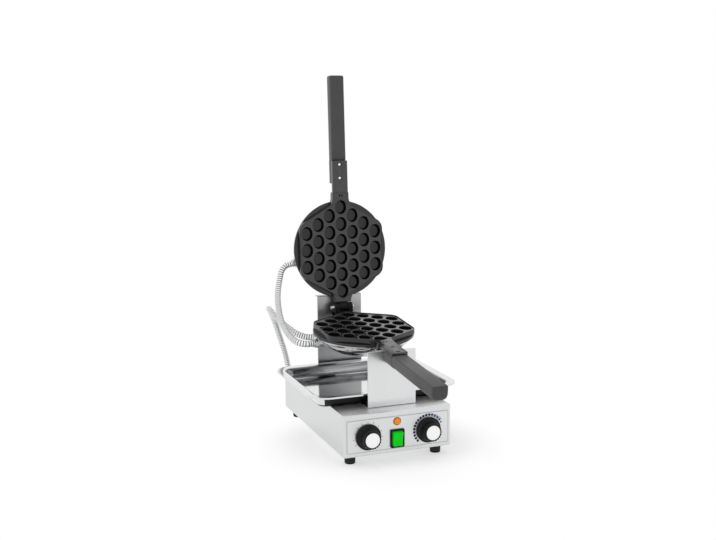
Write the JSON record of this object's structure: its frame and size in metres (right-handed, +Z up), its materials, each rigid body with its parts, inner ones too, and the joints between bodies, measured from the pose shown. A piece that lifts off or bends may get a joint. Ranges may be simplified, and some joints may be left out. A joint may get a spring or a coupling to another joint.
{
  "type": "bubble waffle maker",
  "caption": "Countertop bubble waffle maker: a hinged cast mould with long handles on two brackets over a steel base with drip tray, timer and thermostat.",
  "frame": {"origin": "on the surface that the feet stand on, under the middle of the whole appliance without its conduits", "axes": "+Z up, +X to the right of someone facing the controls, +Y from the controls to the rear bracket"},
  "size_m": [0.3105, 0.6131, 0.7204],
  "materials": {
    "housing_steel": "light satin stainless sheet",
    "panel_steel": "pale satin stainless plate",
    "bracket_steel": "satin stainless sheet",
    "tray_steel": "mirror polished stainless sheet",
    "polished_steel": "polished",
    "zinc_steel": "zinc plated",
    "heater_steel": "heat darkened",
    "conduit_steel": "bright ribbed strip",
    "nonstick_casting": "black non-stick coating, satin",
    "handle_bakelite": "dark grey moulded, matte",
    "knob_plastic": "black, half gloss",
    "gland_plastic": "black",
    "cap_aluminium": "silver, satin",
    "rocker_green": "lit clear green",
    "lamp_amber": "clear amber",
    "terminal_cream": "glazed",
    "foot_rubber": "black",
    "bush_brass": "turned"
  },
  "bodies": {
    "base": {"base_housing": "housing_steel", "bottom_cover": "zinc_steel", "foot_front_left": "foot_rubber", "foot_front_right": "foot_rubber", "foot_rear_left": "foot_rubber", "foot_rear_right": "foot_rubber", "control_panel": "panel_steel", "timer_body": "zinc_steel", "thermostat_body": "zinc_steel", "rocker_housing": "knob_plastic", "lamp_holder": "polished_steel", "lamp_lens": "lamp_amber", "terminal_block": "terminal_cream", "supply_gland": "zinc_steel", "mains_gland": "gland_plastic", "front_bracket": "bracket_steel", "front_bracket_screw_left": "zinc_steel", "front_bracket_screw_right": "zinc_steel", "rear_bracket": "bracket_steel", "rear_bracket_screw_left": "zinc_steel", "rear_bracket_screw_right": "zinc_steel", "rear_bush": "bush_brass", "supply_conduit": "conduit_steel"},
    "tray": {"drip_tray": "tray_steel"},
    "timer": {"timer_shaft": "zinc_steel", "timer_knob": "knob_plastic", "timer_knob_cap": "cap_aluminium"},
    "thermostat": {"thermostat_shaft": "zinc_steel", "thermostat_knob": "knob_plastic", "thermostat_knob_cap": "cap_aluminium"},
    "rocker": {"rocker_button": "rocker_green"},
    "lower_mould": {"lower_plate": "nonstick_casting", "lower_pan": "polished_steel", "lower_pan_screw": "zinc_steel", "lower_heater": "heater_steel", "lower_supply_gland": "zinc_steel", "lower_jumper_gland": "zinc_steel", "lower_handle": "handle_bakelite", "lower_handle_screw_inner": "zinc_steel", "lower_handle_screw_outer": "zinc_steel", "hinge_pin": "zinc_steel", "pivot_shaft": "zinc_steel", "pivot_nut": "zinc_steel", "jumper_conduit": "conduit_steel"},
    "upper_mould": {"upper_plate": "nonstick_casting", "upper_pan": "polished_steel", "upper_pan_screw": "zinc_steel", "upper_heater": "heater_steel", "upper_jumper_gland": "zinc_steel", "upper_handle": "handle_bakelite", "upper_handle_screw_inner": "zinc_steel", "upper_handle_screw_outer": "zinc_steel"}
  },
  "joints": [
    {"name": "mould_flip", "type": "hinge", "parent": "base", "child": "lower_mould", "pos_m": [0, 0.07437, 0.2254], "axis": [0, 0.996, 0.0889], "range_deg": [-8, 8], "deforming": ["supply_conduit"]},
    {"name": "lid_hinge", "type": "hinge", "parent": "lower_mould", "child": "upper_mould", "pos_m": [0, 0.19502, 0.24139], "axis": [1, 0, 0], "range_deg": [0, 98], "deforming": ["jumper_conduit"]},
    {"name": "tray_slide", "type": "slide", "parent": "base", "child": "tray", "axis": [1, 0, 0], "range_m": [-0.1, 0.1]},
    {"name": "timer_turn", "type": "hinge", "parent": "base", "child": "timer", "pos_m": [-0.0605, -0.10231, 0.0544], "axis": [0, 1, 0], "range_deg": [0, 300]},
    {"name": "thermostat_turn", "type": "hinge", "parent": "base", "child": "thermostat", "pos_m": [0.0605, -0.10231, 0.0544], "axis": [0, 1, 0], "range_deg": [0, 270]},
    {"name": "rocker_tilt", "type": "hinge", "parent": "base", "child": "rocker", "pos_m": [-0.0025, -0.10313, 0.0454], "axis": [-1, 0, 0], "range_deg": [0, 18]}
  ]
}
